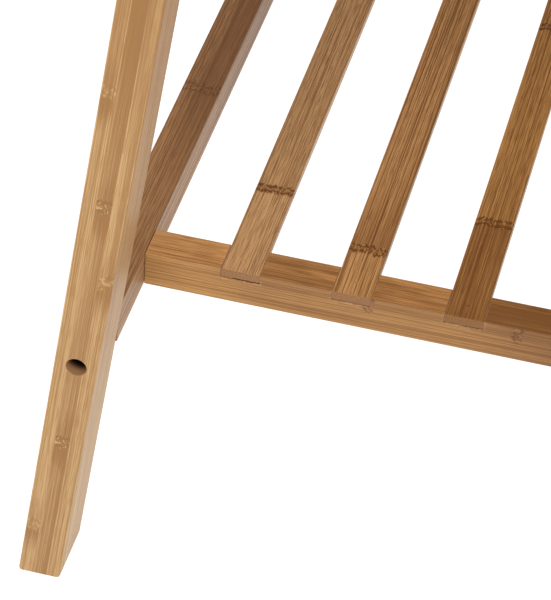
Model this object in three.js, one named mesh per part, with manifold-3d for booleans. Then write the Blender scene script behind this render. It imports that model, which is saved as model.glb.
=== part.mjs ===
// Entryway bench in laminated bamboo: two pairs of splayed legs, long rails bolted between them,
// a low shelf of thin slats for shoes and a slatted seat on top.
// Millimetres. X runs along the bench, Y from front to back, Z up.
// The origin is on the floor, under the middle of the bench.
import * as THREE from 'three';
import { mergeVertices } from 'three/addons/utils/BufferGeometryUtils.js';
import Module from 'manifold-3d';

// Overall sizes
const benchLength = 900; // over the ends of the seat slats
const benchHeight = 450; // floor to the top of the seat
const footSpread = 350; // over the outer edges of a front and a back foot

// Legs, top bars, battens and seat rails are all sawn from one stock
const stockThickness = 22;
const stockWidth = 36;
const stockArris = 1; // rounding of the sawn edges
const footEase = 2; // rounding under the foot
const legSplayDegrees = 6.8; // off upright, seen from the end of the bench

// Seat
const seatSlatCount = 6;
const seatSlatThickness = 12;
const seatSlatGap = 6;
const seatSlatRound = 2;
const seatEndOverhang = 20; // seat past the end faces of the legs
const seatSideOverhang = 39.5; // seat past the outer faces of the legs, at their tops
const barSetback = 10; // top bars and battens stop short of the seat's edge
const barEndChamfer = 9;
const battenCount = 2;

// Shelf
const shelfUnderside = 136; // floor to the underside of the rails
const shelfRailWidth = 20.5;
const shelfRailHeight = 20;
const crossRailWidth = 20.5;
const endCrossRailInset = 84; // end face of the leg to the outer face of the cross rail
const shelfSlatCount = 4;
const shelfSlatWidth = 20;
const shelfSlatThickness = 4.8;
const shelfSlatGap = 37.4;
const shelfArris = 0.6;

// Joints
const gap = 0.3; // between pieces that touch
const legTenon = { length: 24, thickness: 10, height: 14 }; // leg into top bar
const crossTenon = { width: 12, height: 9, reach: 8 }; // cross rail into long rail
const bolt = { shankRadius: 3, headRadius: 5, headHeight: 6, keyAcrossFlats: 5, keyDepth: 3 };
const boltSink = 18; // depth of the counterbore in the end face of a leg
const boltReach = 42; // how far a bolt enters the end of its rail
const barrelNut = { radius: 5, length: 14, slotWidth: 1.2, slotDepth: 1.2 };
const nutSetback = 30; // end of the rail to the barrel nut
const brad = { radius: 0.7, length: 14 };
const woodScrew = { shankRadius: 2, headRadius: 4, headHeight: 2.6, length: 42, driveWidth: 1.2 };
const bradHoleRadius = brad.radius + gap;

// Flats around a round piece or hole
const boreFlats = 32;
const boltFlats = 16;
const screwFlats = 12;
const bradFlats = 8;

// Worked out from the sizes above
const lean = Math.tan(THREE.MathUtils.degToRad(legSplayDegrees));
const legFace = stockThickness / Math.cos(THREE.MathUtils.degToRad(legSplayDegrees)); // on the level
const seatUnderside = benchHeight - seatSlatThickness;
const barCentreHeight = seatUnderside - gap - stockThickness / 2;
const legHeight = seatUnderside - stockThickness - 2 * gap; // also the top of the seat rails
const legOuterAt = (height) => footSpread / 2 - lean * height;
const seatDepth = 2 * (legOuterAt(legHeight) + seatSideOverhang);
const seatSlatWidth = (seatDepth - (seatSlatCount - 1) * seatSlatGap) / seatSlatCount;
const legSpan = benchLength - 2 * seatEndOverhang; // over the end faces of the legs
const legX = legSpan / 2 - stockWidth / 2;
const footY = (footSpread - legFace) / 2;
const railLength = legSpan - 2 * stockWidth - 2 * gap;
const shelfTop = shelfUnderside + shelfRailHeight;
const shelfRailZ = shelfUnderside + shelfRailHeight / 2;
const shelfRailY = legOuterAt(shelfTop) - shelfRailWidth / 2; // its top edge lines up with the leg
const seatRailZ = legHeight - stockWidth / 2;
const seatRailY = legOuterAt(legHeight) - stockThickness / 2;
const shelfSlatLength = legSpan - 2 * endCrossRailInset; // flush with the outer cross rail faces
const barLength = seatDepth - 2 * barSetback;

const names = { end: { '-1': 'left', 1: 'right' }, side: { '-1': 'front', 1: 'back' } };
const ends = [-1, 1];
const sides = [-1, 1];

const bamboo = (colour, roughness) =>
  new THREE.MeshStandardMaterial({ color: colour, roughness, metalness: 0 });
const legBamboo = bamboo(0xd2ac7c, 0.5);
const railBamboo = bamboo(0xa8794c, 0.5);
const slatBamboo = bamboo(0xb88a5a, 0.48);
const seatBamboo = bamboo(0xcfa672, 0.45);
const zinc = new THREE.MeshStandardMaterial({ color: 0x9a9c9e, roughness: 0.35, metalness: 1 });

const bench = new THREE.Group();
const wasm = await Module();
wasm.setup();

// ---- Shaping helpers ----

// The same geometry as a solid that can be joined and cut
function solidOf(geometry) {
  const bare = geometry.clone();
  bare.deleteAttribute('normal');
  bare.deleteAttribute('uv');
  const merged = mergeVertices(bare, 1e-4);
  return new wasm.Manifold(new wasm.Mesh({
    numProp: 3,
    vertProperties: merged.getAttribute('position').array,
    triVerts: new Uint32Array(merged.index.array),
  }));
}

function geometryOf(solid) {
  const mesh = solid.getMesh();
  const geometry = new THREE.BufferGeometry();
  geometry.setAttribute('position', new THREE.BufferAttribute(mesh.vertProperties, 3));
  geometry.setIndex(new THREE.BufferAttribute(mesh.triVerts, 1));
  geometry.computeVertexNormals();
  return geometry;
}

// A geometry with others cut out of it
function carve(geometry, cutters) {
  let solid = solidOf(geometry);
  for (const cutter of cutters) solid = solid.subtract(solidOf(cutter));
  return geometryOf(solid);
}

// A geometry with others joined to it
function join(geometry, additions) {
  let solid = solidOf(geometry);
  for (const addition of additions) solid = solid.add(solidOf(addition));
  return geometryOf(solid);
}

// Turns a shape made along +Z so that it runs along another axis
function along(axis, geometry) {
  const X = new THREE.Vector3(1, 0, 0);
  const Y = new THREE.Vector3(0, 1, 0);
  const Z = new THREE.Vector3(0, 0, 1);
  const turn = { x: [Y, Z, X], y: [Z, X, Y], z: [X, Y, Z] }[axis];
  return geometry.applyMatrix4(new THREE.Matrix4().makeBasis(...turn));
}

const box = (x, y, z) => new THREE.BoxGeometry(x, y, z);

function rod(axis, radius, length, flats = boltFlats) {
  const cylinder = new THREE.CylinderGeometry(radius, radius, length, flats);
  return along(axis, cylinder.rotateX(Math.PI / 2));
}

function roundedRectangle(width, height, radius) {
  const x = width / 2 - radius;
  const y = height / 2 - radius;
  const quarter = Math.PI / 2;
  const shape = new THREE.Shape();
  shape.absarc(x, y, radius, 0, quarter);
  shape.absarc(-x, y, radius, quarter, 2 * quarter);
  shape.absarc(-x, -y, radius, 2 * quarter, 3 * quarter);
  shape.absarc(x, -y, radius, 3 * quarter, 4 * quarter);
  return shape;
}

// An outline drawn out along an axis, centred on its length, with its end edges eased
function drawnOut(axis, outline, length, ease) {
  const geometry = new THREE.ExtrudeGeometry(outline, {
    depth: length - 2 * ease,
    steps: 1,
    curveSegments: 2,
    bevelEnabled: ease > 0,
    bevelThickness: ease,
    bevelSize: ease,
    bevelOffset: -ease,
    bevelSegments: 2,
  });
  return along(axis, geometry.translate(0, 0, ease - length / 2));
}

// A bar of the given X, Y and Z sizes with rounded arrises along its length
function bar(axis, [x, y, z], radius, ease = 0) {
  const section = axis === 'x' ? [y, z] : [z, x];
  const length = axis === 'x' ? x : y;
  return drawnOut(axis, roundedRectangle(...section, radius), length, ease);
}

// Names a mesh and puts it in its group
function place(group, name, geometry, material, x, y, z) {
  const mesh = new THREE.Mesh(geometry, material);
  mesh.name = name;
  mesh.position.set(x, y, z);
  group.add(mesh);
}

// ---- End frames: two legs under a top bar ----

// A leg leans towards the middle of the bench as it rises; its foot and head are cut level
function legBlank(side) {
  const half = legFace / 2;
  const shiftAt = (height) => -side * lean * height;
  const outline = new THREE.Shape();
  outline.moveTo(footEase - half, 0);
  outline.lineTo(half - footEase, 0);
  outline.quadraticCurveTo(half, 0, half + shiftAt(footEase), footEase);
  outline.lineTo(half + shiftAt(legHeight), legHeight);
  outline.lineTo(shiftAt(legHeight) - half, legHeight);
  outline.lineTo(shiftAt(footEase) - half, footEase);
  outline.quadraticCurveTo(-half, 0, footEase - half, 0);
  return drawnOut('x', outline, stockWidth, stockArris);
}

// Counterbore for the bolt head and a clearance hole on through the leg
function boltBore(end, y, z) {
  const sink = rod('x', bolt.headRadius + gap, 2 * boltSink, boreFlats);
  const through = rod('x', bolt.shankRadius + gap, 3 * stockWidth);
  return [
    sink.translate(end * stockWidth / 2, y, z),
    through.translate(0, y, z),
  ];
}

function leg(end, side) {
  const tenon = box(legTenon.length, legTenon.thickness, 2 * legTenon.height);
  tenon.translate(0, -side * lean * legHeight, legHeight);
  const whole = join(legBlank(side), [tenon]);
  return carve(whole, [
    ...boltBore(end, side * (shelfRailY - footY), shelfRailZ),
    ...boltBore(end, side * (seatRailY - footY), seatRailZ),
  ]);
}

// A bar across the bench under the seat slats, its lower corners cut off at the ends
function barBlank() {
  const across = stockThickness / 2;
  const out = barLength / 2;
  const outline = new THREE.Shape([
    new THREE.Vector2(-out + barEndChamfer, -across),
    new THREE.Vector2(out - barEndChamfer, -across),
    new THREE.Vector2(out, barEndChamfer - across),
    new THREE.Vector2(out, across),
    new THREE.Vector2(-out, across),
    new THREE.Vector2(-out, barEndChamfer - across),
  ]);
  return drawnOut('x', outline, stockWidth, stockArris);
}

function topBar() {
  const mortises = sides.map((side) => {
    const mortise = box(
      legTenon.length + 2 * gap,
      legTenon.thickness + 2 * gap,
      2 * (legTenon.height + gap),
    );
    return mortise.translate(0, side * (footY - lean * legHeight), -stockThickness / 2 - gap);
  });
  return carve(barBlank(), mortises);
}

for (const end of ends) {
  const frame = new THREE.Group();
  frame.position.x = end * legX;
  bench.add(frame);
  const where = names.end[end];
  place(frame, `top_bar_${where}`, topBar(), legBamboo, 0, 0, barCentreHeight);
  for (const side of sides) {
    const name = `leg_${names.side[side]}_${where}`;
    place(frame, name, leg(end, side), legBamboo, 0, side * footY, 0);
  }
}

// ---- Long rails, with their bolts and barrel nuts ----

// Bolt hole in each end of a rail, and a blind hole from below for its barrel nut
function railBores(height) {
  const bores = [];
  const nutHoleTop = barrelNut.length / 2 + gap;
  const nutHoleDepth = height / 2 + nutHoleTop;
  for (const end of ends) {
    const shank = rod('x', bolt.shankRadius + gap, 2 * (boltReach + 1));
    bores.push(shank.translate(end * railLength / 2, 0, 0));
    const nutHole = rod('z', barrelNut.radius + gap, nutHoleDepth + 1);
    const nutX = end * (railLength / 2 - nutSetback);
    bores.push(nutHole.translate(nutX, 0, nutHoleTop - (nutHoleDepth + 1) / 2));
  }
  return bores;
}

// Socket head bolt along +X, its origin on the underside of the head
function boltGeometry() {
  const tip = stockWidth - boltSink + boltReach;
  const { shankRadius, headRadius, headHeight } = bolt;
  const profile = [
    [0, -headHeight],
    [headRadius - 0.5, -headHeight],
    [headRadius, 0.5 - headHeight],
    [headRadius, 0],
    [shankRadius, 0],
    [shankRadius, tip - 1],
    [shankRadius - 0.8, tip],
    [0, tip],
  ];
  const points = profile.map(([radius, distance]) => new THREE.Vector2(radius, distance));
  const turned = along('x', new THREE.LatheGeometry(points, boltFlats).rotateX(Math.PI / 2));
  const keyRadius = bolt.keyAcrossFlats / 2 / Math.cos(Math.PI / 6);
  const key = rod('x', keyRadius, 2 * bolt.keyDepth, 6).translate(-headHeight, 0, 0);
  return carve(turned, [key]);
}

// Steel cylinder across the rail, with the bolt's hole and a screwdriver slot in its lower end
function barrelNutGeometry() {
  const { radius, length, slotWidth, slotDepth } = barrelNut;
  const hole = rod('x', bolt.shankRadius + gap, 3 * radius);
  const slot = box(3 * radius, slotWidth, 2 * slotDepth).translate(0, 0, -length / 2);
  return carve(rod('z', radius, length), [hole, slot]);
}

function fixRail(rail, end, side, y, z) {
  const tag = `${rail}_${names.side[side]}_${names.end[end]}`;
  const turned = boltGeometry().rotateZ(end > 0 ? Math.PI : 0);
  place(bench, `bolt_${tag}`, turned, zinc, end * (legSpan / 2 - boltSink + gap), side * y, z);
  const nutX = end * (railLength / 2 - nutSetback);
  place(bench, `barrel_nut_${tag}`, barrelNutGeometry(), zinc, nutX, side * y, z);
}

function seatRail() {
  const blank = bar('x', [railLength, stockThickness, stockWidth], stockArris);
  return carve(blank, [...railBores(stockWidth), ...screwPilots()]);
}

function shelfRail(side) {
  const blank = bar('x', [railLength, shelfRailWidth, shelfRailHeight], shelfArris);
  const mortises = crossRailPlaces().map((x) => {
    const mortise = box(
      crossTenon.width + 2 * gap,
      2 * (crossTenon.reach + gap),
      crossTenon.height + 2 * gap,
    );
    return mortise.translate(x, -side * shelfRailWidth / 2, crossTenonDrop());
  });
  return carve(blank, [...railBores(shelfRailHeight), ...mortises]);
}

for (const side of sides) {
  const where = names.side[side];
  place(bench, `shelf_rail_${where}`, shelfRail(side), railBamboo, 0, side * shelfRailY, shelfRailZ);
  place(bench, `seat_rail_${where}`, seatRail(), legBamboo, 0, side * seatRailY, seatRailZ);
  for (const end of ends) {
    fixRail('shelf', end, side, shelfRailY, shelfRailZ);
    fixRail('seat', end, side, seatRailY, seatRailZ);
  }
}

// ---- Shelf: three cross rails, with thin slats let into their tops ----

function crossRailPlaces() {
  const outer = shelfSlatLength / 2 - crossRailWidth / 2;
  return [-outer, 0, outer];
}

// The tenon sits below the notches, so its centre is below the middle of the rail
function crossTenonDrop() {
  return -shelfSlatThickness / 2;
}

function shelfSlatPlaces() {
  const pitch = shelfSlatWidth + shelfSlatGap;
  const places = [];
  for (let i = 0; i < shelfSlatCount; i += 1) places.push((i - (shelfSlatCount - 1) / 2) * pitch);
  return places;
}

function bradHole(x, y, top) {
  const length = 2 * (brad.length + gap);
  return rod('z', bradHoleRadius, length, bradFlats).translate(x, y, top);
}

function crossRail() {
  const length = 2 * (shelfRailY - shelfRailWidth / 2 - gap);
  const blank = bar('y', [crossRailWidth, length, shelfRailHeight], shelfArris);
  const tenon = box(crossTenon.width, length + 2 * crossTenon.reach, crossTenon.height);
  tenon.translate(0, 0, crossTenonDrop());
  const top = shelfRailHeight / 2;
  const notchDepth = shelfSlatThickness + gap;
  const cuts = shelfSlatPlaces().flatMap((y) => {
    const notch = box(2 * crossRailWidth, shelfSlatWidth + 2 * gap, 2 * notchDepth);
    return [notch.translate(0, y, top), bradHole(0, y, top - gap)];
  });
  return carve(join(blank, [tenon]), cuts);
}

function shelfSlat() {
  const size = [shelfSlatLength, shelfSlatWidth, shelfSlatThickness];
  const blank = bar('x', size, shelfArris, shelfArris / 2);
  return carve(blank, crossRailPlaces().map((x) => bradHole(x, 0, shelfSlatThickness / 2)));
}

const crossRailNames = ['left', 'middle', 'right'];
crossRailPlaces().forEach((x, i) => {
  const name = `shelf_cross_rail_${crossRailNames[i]}`;
  place(bench, name, crossRail(), railBamboo, x, 0, shelfRailZ);
});

shelfSlatPlaces().forEach((y, i) => {
  const z = shelfTop - shelfSlatThickness / 2;
  place(bench, `shelf_slat_${i + 1}`, shelfSlat(), slatBamboo, 0, y, z);
  crossRailPlaces().forEach((x, j) => {
    const name = `brad_${crossRailNames[j]}_slat_${i + 1}`;
    const pin = rod('z', brad.radius, brad.length, bradFlats);
    place(bench, name, pin, zinc, x, y, shelfTop - gap - brad.length / 2);
  });
});

// ---- Seat: battens screwed down to the rails, and long slats over battens and top bars ----

function battenPlaces() {
  const bay = 2 * legX / (battenCount + 1);
  const places = [];
  for (let i = 1; i <= battenCount; i += 1) places.push(i * bay - legX);
  return places;
}

// Height of a screw's head face above the middle of its batten
function screwTop() {
  return stockThickness / 2 - gap;
}

// Holes in a seat rail, whose top is one gap below the battens
function screwPilots() {
  const length = 2 * (woodScrew.length - stockThickness + 1);
  return battenPlaces().map((x) => {
    const pilot = rod('z', woodScrew.shankRadius + gap, length, screwFlats);
    return pilot.translate(x, 0, stockWidth / 2);
  });
}

// A turned profile from the point of the screw up to its head, widened all round by an ease
function screwTurning(ease) {
  const { shankRadius, headRadius, headHeight, length } = woodScrew;
  const profile = [
    [0, -length - ease],
    [shankRadius + ease, 5 - length],
    [shankRadius + ease, -headHeight - ease],
    [headRadius + ease, -0.4 - ease],
    [headRadius + ease, ease],
    [0, ease],
  ];
  const points = profile.map(([radius, height]) => new THREE.Vector2(radius, height));
  return new THREE.LatheGeometry(points, screwFlats).rotateX(Math.PI / 2);
}

function woodScrewGeometry() {
  const drive = box(woodScrew.headRadius, woodScrew.driveWidth, woodScrew.headHeight);
  const cross = drive.clone().rotateZ(Math.PI / 2);
  return carve(screwTurning(0), [drive, cross]);
}

function batten() {
  const holes = sides.map((side) => screwTurning(gap).translate(0, side * seatRailY, screwTop()));
  return carve(barBlank(), holes);
}

function seatSlat() {
  const size = [benchLength, seatSlatWidth, seatSlatThickness];
  return bar('x', size, seatSlatRound, 0.75 * seatSlatRound);
}

battenPlaces().forEach((x, i) => {
  const where = i + 1;
  place(bench, `seat_batten_${where}`, batten(), legBamboo, x, 0, barCentreHeight);
  for (const side of sides) {
    const name = `batten_screw_${where}_${names.side[side]}`;
    const z = barCentreHeight + screwTop();
    place(bench, name, woodScrewGeometry(), zinc, x, side * seatRailY, z);
  }
});

for (let i = 0; i < seatSlatCount; i += 1) {
  const y = (i - (seatSlatCount - 1) / 2) * (seatSlatWidth + seatSlatGap);
  const z = benchHeight - seatSlatThickness / 2;
  place(bench, `seat_slat_${i + 1}`, seatSlat(), seatBamboo, 0, y, z);
}

export default bench;
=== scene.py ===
import math

import bmesh
import bpy
from mathutils import Matrix, Vector


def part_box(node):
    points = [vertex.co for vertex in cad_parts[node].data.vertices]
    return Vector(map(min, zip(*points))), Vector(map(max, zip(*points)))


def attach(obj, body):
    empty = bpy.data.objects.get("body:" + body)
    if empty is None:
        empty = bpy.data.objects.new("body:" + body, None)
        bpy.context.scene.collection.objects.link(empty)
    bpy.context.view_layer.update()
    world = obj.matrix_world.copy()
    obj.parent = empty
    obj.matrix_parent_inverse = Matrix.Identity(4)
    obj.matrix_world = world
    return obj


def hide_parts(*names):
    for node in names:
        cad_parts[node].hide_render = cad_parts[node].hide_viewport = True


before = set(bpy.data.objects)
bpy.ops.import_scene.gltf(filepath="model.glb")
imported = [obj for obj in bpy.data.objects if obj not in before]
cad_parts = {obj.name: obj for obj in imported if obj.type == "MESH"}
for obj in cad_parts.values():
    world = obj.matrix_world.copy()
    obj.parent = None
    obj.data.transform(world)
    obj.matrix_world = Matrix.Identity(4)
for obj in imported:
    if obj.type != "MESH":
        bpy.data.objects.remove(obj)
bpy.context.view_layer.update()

# ---- The room: a pale floor that runs out of sight, and the person looking at the bench ----
# The bench stands in a white studio. The eye is above its right end, a little to the back.

scene = bpy.context.scene
scene.view_settings.view_transform = "Standard"

floor_mesh = bmesh.new()
floor_reach = 6
bmesh.ops.create_grid(floor_mesh, x_segments=1, y_segments=1, size=floor_reach)
floor = bpy.data.objects.new("floor", bpy.data.meshes.new("floor"))
floor_mesh.to_mesh(floor.data)
floor_mesh.free()
scene.collection.objects.link(floor)

pale_floor = bpy.data.materials.new("pale_floor")
pale_floor.use_nodes = True
floor_paint = pale_floor.node_tree.nodes["Principled BSDF"]
floor_paint.inputs["Base Color"].default_value = (0.3, 0.3, 0.3, 1)
floor_paint.inputs["Roughness"].default_value = 0.9
floor_paint.inputs["Specular IOR Level"].default_value = 0
floor_paint.inputs["Emission Color"].default_value = (1, 1, 1, 1)
floor_paint.inputs["Emission Strength"].default_value = 0.9
floor.data.materials.append(pale_floor)

eye = Vector((1.49086, 0.16218, 1.10103))
heading, dip, tilt = (math.radians(angle) for angle in (101.326, 39.373, 4.35))
camera = bpy.data.objects.new("camera", bpy.data.cameras.new("camera"))
camera.data.lens = 180.05
camera.data.sensor_width = 36
turn = Matrix.Rotation(heading, 4, "Z") @ Matrix.Rotation(math.pi / 2 - dip, 4, "X")
camera.matrix_world = Matrix.Translation(eye) @ turn @ Matrix.Rotation(tilt, 4, "Z")
scene.collection.objects.link(camera)
scene.camera = camera

# ---- The lamps: three softboxes, and white walls that light the bench only weakly ----
# One softbox hangs near the bench's right end, one stands off its front behind a polarising
# sheet, which takes its glare off the lacquer, and a weaker one stands off its back.

sky = bpy.data.worlds.new("white_room")
sky.use_nodes = True
scene.world = sky
walls = sky.node_tree.nodes["Background"]
walls.inputs["Color"].default_value = (1, 1, 1, 1)
white_to_the_eye, white_on_the_bench = 1.0, 0.4
seen = sky.node_tree.nodes.new("ShaderNodeLightPath")
glow = sky.node_tree.nodes.new("ShaderNodeMath")
glow.operation = "MULTIPLY_ADD"
glow.inputs[1].default_value = white_to_the_eye - white_on_the_bench
glow.inputs[2].default_value = white_on_the_bench
sky.node_tree.links.new(seen.outputs["Is Camera Ray"], glow.inputs[0])
sky.node_tree.links.new(glow.outputs[0], walls.inputs["Strength"])


def hang_softbox(name, place, aim, width, height, power):
    """A square-cornered lamp at a place, turned to face its aim."""
    lamp = bpy.data.lights.new(name, "AREA")
    lamp.shape = "RECTANGLE"
    lamp.size, lamp.size_y = width, height
    lamp.energy = power
    softbox = bpy.data.objects.new(name, lamp)
    softbox.location = place
    softbox.rotation_euler = (Vector(aim) - Vector(place)).to_track_quat("-Z", "Y").to_euler()
    scene.collection.objects.link(softbox)
    return softbox


hang_softbox("end_softbox", place=(1.5, 0.2, 1.5), aim=(0.35, 0, 0.15),
             width=1.2, height=0.8, power=15)
front = hang_softbox("front_softbox", place=(0.3, -1.8, 0.8), aim=(0.2, 0, 0.15),
                     width=1.4, height=0.9, power=27)
front.visible_glossy = False
hang_softbox("back_softbox", place=(0.6, 1.5, 0.9), aim=(0.2, 0.1, 0.15),
             width=1.2, height=0.8, power=5)

# ---- Legs: splayed posts of laminated bamboo, bored for the bolts, under satin lacquer ----
# Each is sawn from a blank of flat strips, three deep and two wide, glued face to face.
# Where a strip keeps one of the cane's joints it shows a small speckled knot.


def add_node(tree, kind, sockets=(), **settings):
    """A shader node, with its inputs set to values or linked to other nodes' outputs."""
    node = tree.nodes.new("ShaderNode" + kind)
    for key, value in settings.items():
        setattr(node, key, value)
    for key, value in dict(sockets).items():
        if isinstance(value, bpy.types.NodeSocket):
            tree.links.new(value, node.inputs[key])
        else:
            node.inputs[key].default_value = value
    return node


def calc(tree, operation, *values, clamp=False):
    """One step of arithmetic on shader values."""
    node = add_node(tree, "Math", enumerate(values), operation=operation, use_clamp=clamp)
    return node.outputs[0]


def ramp(tree, value, low, high, start=0.0, end=1.0):
    """Goes smoothly from start to end while the value goes from low to high."""
    sockets = {0: value, 1: low, 2: high, 3: start, 4: end}
    node = add_node(tree, "MapRange", sockets, interpolation_type="SMOOTHSTEP")
    return node.outputs[0]


def stir(tree, share, under, over):
    """Stirs a share of one colour into another."""
    sockets = {0: share, 6: under, 7: over}
    return add_node(tree, "Mix", sockets, data_type="RGBA").outputs[2]


def new_group(name, takes, gives):
    """An empty node group, with the inputs it takes and the outputs it gives."""
    group = bpy.data.node_groups.new(name, "ShaderNodeTree")
    for label in takes:
        group.interface.new_socket(label, in_out="INPUT", socket_type="NodeSocketFloat")
    for label in gives:
        group.interface.new_socket(label, in_out="OUTPUT", socket_type="NodeSocketFloat")
    taken = group.nodes.new("NodeGroupInput").outputs
    given = group.nodes.new("NodeGroupOutput").inputs
    return group, taken, given


def speckle(tree, vector, detail, roughness=0.5):
    """Noise from 0 to 1, with one grain to each whole step of the vector."""
    sockets = {"Vector": vector, "Scale": 1.0, "Detail": detail, "Roughness": roughness}
    return add_node(tree, "TexNoise", sockets).outputs["Fac"]


def stretched(tree, along, across, through, run, fine):
    """A place in the bamboo, counted in grains: so many to a metre along it, and across it."""
    parts = (calc(tree, "MULTIPLY", along, run), calc(tree, "MULTIPLY", across, fine),
             calc(tree, "MULTIPLY", through, fine))
    return add_node(tree, "CombineXYZ", enumerate(parts)).outputs[0]


def make_strip_group():
    """Which strip of the blank a point is in: U and V count strips across and through it."""
    group, taken, given = new_group(
        "glued strips", ("U", "V", "Piece"), ("Tone", "Shift", "Seam"))
    whole = [calc(group, "FLOOR", taken[label]) for label in ("U", "V")]
    cell = add_node(group, "CombineXYZ", {0: whole[0], 1: whole[1], 2: taken["Piece"]})
    chance = add_node(group, "TexWhiteNoise", {"Vector": cell.outputs[0]})
    split = add_node(group, "SeparateColor", {0: chance.outputs["Color"]})
    group.links.new(split.outputs[0], given["Tone"])
    group.links.new(split.outputs[1], given["Shift"])
    half_strip, seam_starts, seam_full = 0.5, 0.475, 0.495
    lines = []
    for label in ("U", "V"):
        from_middle = calc(group, "SUBTRACT", calc(group, "FRACT", taken[label]), half_strip)
        lines.append(ramp(group, calc(group, "ABSOLUTE", from_middle), seam_starts, seam_full))
    group.links.new(calc(group, "MAXIMUM", *lines), given["Seam"])
    return group


def make_fibre_group():
    """The run of the fibres: broad streaks, fine dark and pale lines, and short flecks."""
    group, taken, given = new_group(
        "bamboo fibre", ("Along", "Across", "Through", "Shift"),
        ("Streak", "Line", "Gleam", "Fleck"))
    farthest_shift = 7.3
    moved = calc(group, "MULTIPLY_ADD", taken["Shift"], farthest_shift, taken["Along"])
    place = (moved, taken["Across"], taken["Through"])
    # How many to a metre along and across, how broken up, and where each begins and is full.
    kinds = (("Streak", 4.0, 170.0, 2.0, 0.5, 0.32, 0.68),
             ("Line", 5.0, 1550.0, 0.5, 0.6, 0.5, 0.57),
             ("Gleam", 9.0, 1700.0, 0.0, 0.5, 0.52, 0.61),
             ("Fleck", 75.0, 1800.0, 0.0, 0.5, 0.54, 0.64))
    for label, run, fine, detail, roughness, begins, full in kinds:
        grains = speckle(group, stretched(group, *place, run, fine), detail, roughness)
        group.links.new(ramp(group, grains, begins, full), given[label])
    return group


def make_knot_group():
    """One of the cane's joints: a ragged band with a dotted scar along each side of it."""
    group, taken, given = new_group(
        "bamboo knot", ("Distance", "Across", "Through", "Reach", "Fade"),
        ("Band", "Dots", "Specks", "Near", "Far"))
    wavers, grains_along, grains_across = 380.0, 430.0, 640.0  # how many to a metre
    waver_size, scar = 3.2, 0.65  # these and the band's edges are in reaches
    sideways = stretched(group, 0.0, taken["Across"], taken["Through"], 0.0, wavers)
    waver = calc(group, "SUBTRACT", speckle(group, sideways, 3.0, 0.8), 0.5)
    straight = calc(group, "DIVIDE", taken["Distance"], taken["Reach"])
    bent = calc(group, "MULTIPLY_ADD", waver, waver_size, straight)
    far = calc(group, "ABSOLUTE", bent)
    band = ramp(group, far, low=1.2, high=0.8)
    from_scar = calc(group, "ABSOLUTE", calc(group, "SUBTRACT", far, scar))
    close = stretched(group, taken["Distance"], taken["Across"], taken["Through"],
                      grains_along, grains_across)
    grains = speckle(group, close, 1.0)
    dots = calc(group, "MULTIPLY", ramp(group, from_scar, low=0.7, high=0.25),
                ramp(group, grains, low=0.38, high=0.5))
    specks = calc(group, "MULTIPLY", band, ramp(group, grains, low=0.46, high=0.36))
    group.links.new(band, given["Band"])
    group.links.new(dots, given["Dots"])
    group.links.new(specks, given["Specks"])
    for label, way in (("Near", 1.0), ("Far", -1.0)):
        past = calc(group, "MULTIPLY", bent, way)
        halo = calc(group, "MULTIPLY", ramp(group, past, low=0.6, high=1.6),
                    ramp(group, past, low=taken["Fade"], high=1.0))
        group.links.new(halo, given[label])
    return group


def make_end_grain_group():
    """Sawn ends: the cut fibres, as round dots in a paler ground."""
    group, taken, given = new_group("bamboo end grain", ("Across", "Through"), ("Bundle",))
    bundles_to_a_metre = 1100.0
    flat = stretched(group, 0.0, taken["Across"], taken["Through"], 0.0, 1.0)
    sockets = {"Vector": flat, "Scale": bundles_to_a_metre, "Randomness": 0.9}
    cells = add_node(group, "TexVoronoi", sockets)
    dot = ramp(group, cells.outputs["Distance"], low=0.5, high=0.2)
    group.links.new(dot, given["Bundle"])
    return group


strip_group = make_strip_group()
fibre_group = make_fibre_group()
knot_group = make_knot_group()
end_grain_group = make_end_grain_group()


def strips(tree, distance, low, size, count):
    """Counts strips from one face of a blank to the other, clear of both faces."""
    margin = 0.0002
    from_face = calc(tree, "SUBTRACT", distance, low - margin)
    return calc(tree, "MULTIPLY", from_face, count / (size + 2 * margin))


def lay_strips(tree, u, v, piece):
    """Each strip's own tone and shift along the piece, and the seams between strips."""
    group = add_node(tree, "Group", {"U": u, "V": v, "Piece": piece}, node_tree=strip_group)
    return [group.outputs[label] for label in ("Tone", "Shift", "Seam")]


def pick(tree, number, choices):
    """The choice whose place in the list is the whole part of a number."""
    total = 0.0
    for place, choice in enumerate(choices):
        is_it = calc(tree, "COMPARE", calc(tree, "FLOOR", number), place, 0.5)
        total = calc(tree, "MULTIPLY_ADD", is_it, choice, total)
    return total


def pick_colour(tree, number, colours):
    """The colour whose place in the list is the whole part of a number."""
    channels = [pick(tree, number, channel) for channel in zip(*colours)]
    return add_node(tree, "CombineColor", enumerate(channels)).outputs[0]


def faces_along(tree, axis):
    """How squarely the surface faces along an axis, from 0 to 1."""
    normal = add_node(tree, "TexCoord").outputs["Normal"]
    split = add_node(tree, "SeparateXYZ", {0: normal})
    return ramp(tree, calc(tree, "ABSOLUTE", split.outputs[axis]), low=0.6, high=0.8)


def new_material(name):
    """A material, its nodes, its paint, and where on the bench each point of it is."""
    material = bpy.data.materials.new(name)
    material.use_nodes = True
    tree = material.node_tree
    paint = tree.nodes["Principled BSDF"]
    xyz = add_node(tree, "SeparateXYZ", {0: add_node(tree, "TexCoord").outputs["Object"]})
    return material, tree, paint, xyz.outputs


def knot_marks(tree, place, knots, spacing, reach, fade):
    """The nearest knot to a point, of knots spaced evenly along a strip."""
    along, across, through = place
    half = calc(tree, "MULTIPLY", spacing, 0.5)
    past = calc(tree, "ADD", calc(tree, "SUBTRACT", along, knots), half)
    distance = calc(tree, "SUBTRACT", calc(tree, "FLOORED_MODULO", past, spacing), half)
    sockets = {"Distance": distance, "Across": across, "Through": through, "Reach": reach,
               "Fade": fade}
    return add_node(tree, "Group", sockets, node_tree=knot_group).outputs


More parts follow.
